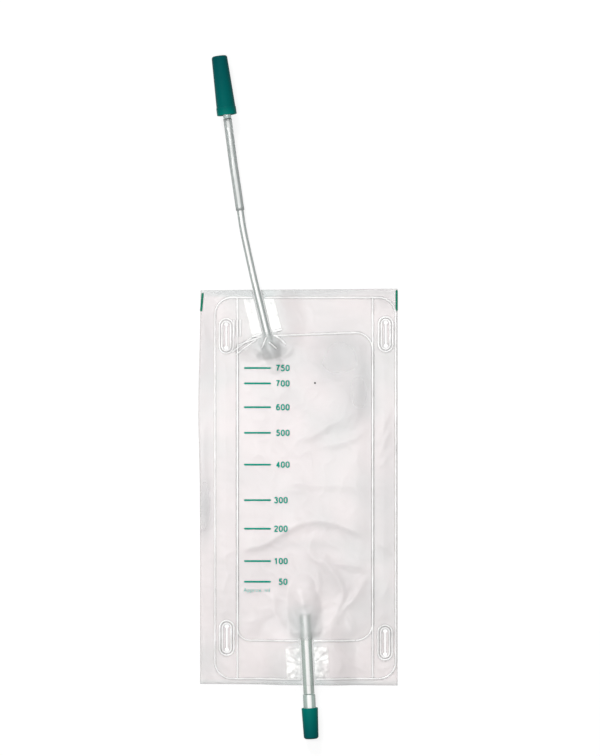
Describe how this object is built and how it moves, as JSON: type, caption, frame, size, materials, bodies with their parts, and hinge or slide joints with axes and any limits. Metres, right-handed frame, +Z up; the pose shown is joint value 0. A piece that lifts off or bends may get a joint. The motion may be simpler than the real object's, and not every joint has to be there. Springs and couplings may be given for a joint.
{
  "type": "urine drainage bag",
  "caption": "Flat clear film drainage bag with welded seams, printed volume scale, leaning inlet tube with long cap, and capped outlet.",
  "frame": {"origin": "middle of the flat bag with its outlet, at the surface that the back film lies on", "axes": "+X across the bag to the side away from the inlet, +Y along the bag to the inlet end, +Z up from the back film to the printed front"},
  "size_m": [0.154, 0.5323, 0.0154],
  "materials": {
    "clear_film": "soft clear film, slightly cloudy",
    "clear_tube": "clear flexible tube, glossy",
    "milky_plastic": "translucent, tinted",
    "teal_plastic": "moulded, satin gloss"
  },
  "bodies": {
    "bag": {"front_film": "clear_film", "back_film": "clear_film", "valve_flap_front": "clear_film", "valve_flap_back": "clear_film", "inlet_tube": "clear_tube", "extension_tube": "clear_tube", "inlet_connector": "milky_plastic", "outlet_tube": "clear_tube", "outlet_spigot": "clear_tube"},
    "inlet_cap_body": {"inlet_cap": "teal_plastic"},
    "outlet_cap_body": {"outlet_cap": "teal_plastic"}
  },
  "joints": [
    {"name": "inlet_cap_pull", "type": "slide", "parent": "bag", "child": "inlet_cap_body", "axis": [-0.1305, 0.9914, 0], "range_m": [0, 0.05]},
    {"name": "outlet_cap_pull", "type": "slide", "parent": "bag", "child": "outlet_cap_body", "axis": [0.0506, -0.9987, 0], "range_m": [0, 0.03]}
  ]
}
